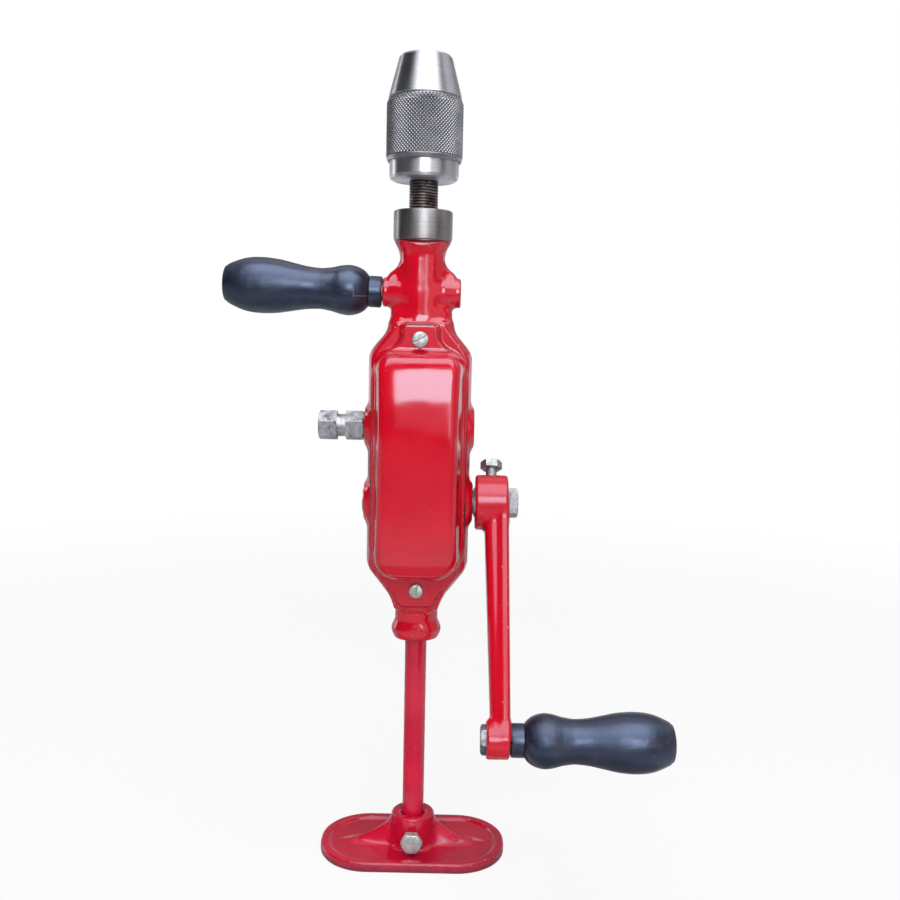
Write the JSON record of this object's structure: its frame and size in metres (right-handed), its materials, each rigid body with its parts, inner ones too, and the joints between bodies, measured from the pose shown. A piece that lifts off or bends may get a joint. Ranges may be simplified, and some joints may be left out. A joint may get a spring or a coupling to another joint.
{
  "type": "breast drill",
  "caption": "Hand-cranked breast drill: red gear case with domed cover, three-jaw chuck, crank with black grip, side handle and a breast plate on a rod.",
  "frame": {"origin": "centre of the breast plate underside, on the common axis of rod and spindle", "axes": "+Z along the spindle towards the chuck, +X towards the crank side, -Y towards the cover"},
  "size_m": [0.2524, 0.1211, 0.4621],
  "materials": {
    "red_enamel": "gloss",
    "crimson_enamel": "gloss",
    "zinc_steel": "satin",
    "shaft_steel": "satin",
    "turned_steel": "polished",
    "knurled_steel": "satin",
    "dark_steel": "satin",
    "gear_steel": "satin",
    "bronze": "satin",
    "black_wood": "satin"
  },
  "bodies": {
    "frame": {"gear_case": "red_enamel", "gear_cover": "red_enamel", "cover_screw_top": "zinc_steel", "cover_screw_low": "zinc_steel", "thrust_race": "gear_steel", "thrust_balls": "gear_steel", "neck_bush_top": "bronze", "neck_bush_low": "bronze", "upper_bush_left": "bronze", "upper_bush_right": "bronze", "lower_bush_left": "bronze", "lower_bush_right": "bronze", "side_stud": "shaft_steel", "side_grip": "black_wood", "breast_rod": "crimson_enamel"},
    "crank": {"lower_shaft": "shaft_steel", "spur_wheel": "gear_steel", "spur_wheel_pin": "gear_steel", "crank_arm": "red_enamel", "crank_bolt": "zinc_steel", "grip_pin": "zinc_steel", "grip_lock_nut": "zinc_steel"},
    "crank_grip": {"crank_grip": "black_wood"},
    "upper_shaft": {"upper_shaft": "shaft_steel", "bevel_gear": "gear_steel", "bevel_gear_pin": "gear_steel", "spur_pinion": "gear_steel", "spur_pinion_pin": "gear_steel"},
    "spindle": {"spindle": "dark_steel", "thrust_collar": "turned_steel", "bevel_pinion": "gear_steel", "bevel_pinion_pin": "gear_steel", "bevel_washer": "bronze", "chuck_body": "turned_steel"},
    "chuck_sleeve": {"chuck_sleeve": "knurled_steel", "chuck_nut": "bronze"},
    "jaw_1": {"chuck_jaw_1": "dark_steel"},
    "jaw_2": {"chuck_jaw_2": "dark_steel"},
    "jaw_3": {"chuck_jaw_3": "dark_steel"},
    "breast_plate": {"breast_plate": "crimson_enamel", "plate_bolt": "zinc_steel"}
  },
  "joints": [
    {"name": "crank_turn", "type": "hinge", "parent": "frame", "child": "crank", "pos_m": [0, 0, 0.2123], "axis": [1, 0, 0], "continuous": true},
    {"name": "upper_shaft_turn", "type": "hinge", "parent": "frame", "child": "upper_shaft", "pos_m": [0, 0, 0.2558], "axis": [1, 0, 0], "continuous": true},
    {"name": "spindle_turn", "type": "hinge", "parent": "frame", "child": "spindle", "pos_m": [0, 0, 0.3607], "axis": [0, 0, 1], "continuous": true},
    {"name": "grip_spin", "type": "hinge", "parent": "crank", "child": "crank_grip", "pos_m": [0.053, -0.067, 0.09625], "axis": [1, 0, 0], "continuous": true},
    {"name": "sleeve_turn", "type": "hinge", "parent": "spindle", "child": "chuck_sleeve", "pos_m": [0, 0, 0.4224], "axis": [0, 0, 1], "range_deg": [-1836, 1980]},
    {"name": "jaw_1_slide", "type": "slide", "parent": "spindle", "child": "jaw_1", "axis": [0, -0.2419, 0.9703], "range_m": [-0.01025, 0.01105]},
    {"name": "jaw_2_slide", "type": "slide", "parent": "spindle", "child": "jaw_2", "axis": [0.2095, 0.121, 0.9703], "range_m": [-0.01025, 0.01105]},
    {"name": "jaw_3_slide", "type": "slide", "parent": "spindle", "child": "jaw_3", "axis": [-0.2095, 0.121, 0.9703], "range_m": [-0.01025, 0.01105]},
    {"name": "plate_swivel", "type": "hinge", "parent": "frame", "child": "breast_plate", "pos_m": [0, 0, 0.01], "axis": [0, 0, 1], "continuous": true}
  ],
  "couplings": [
    {"joint": "upper_shaft_turn", "follows": "crank_turn", "ratio": -2.4118},
    {"joint": "spindle_turn", "follows": "crank_turn", "ratio": 3.6176},
    {"joint": "jaw_1_slide", "follows": "sleeve_turn", "m_per_rad": 0.00031831},
    {"joint": "jaw_2_slide", "follows": "sleeve_turn", "m_per_rad": 0.00031831},
    {"joint": "jaw_3_slide", "follows": "sleeve_turn", "m_per_rad": 0.00031831}
  ]
}
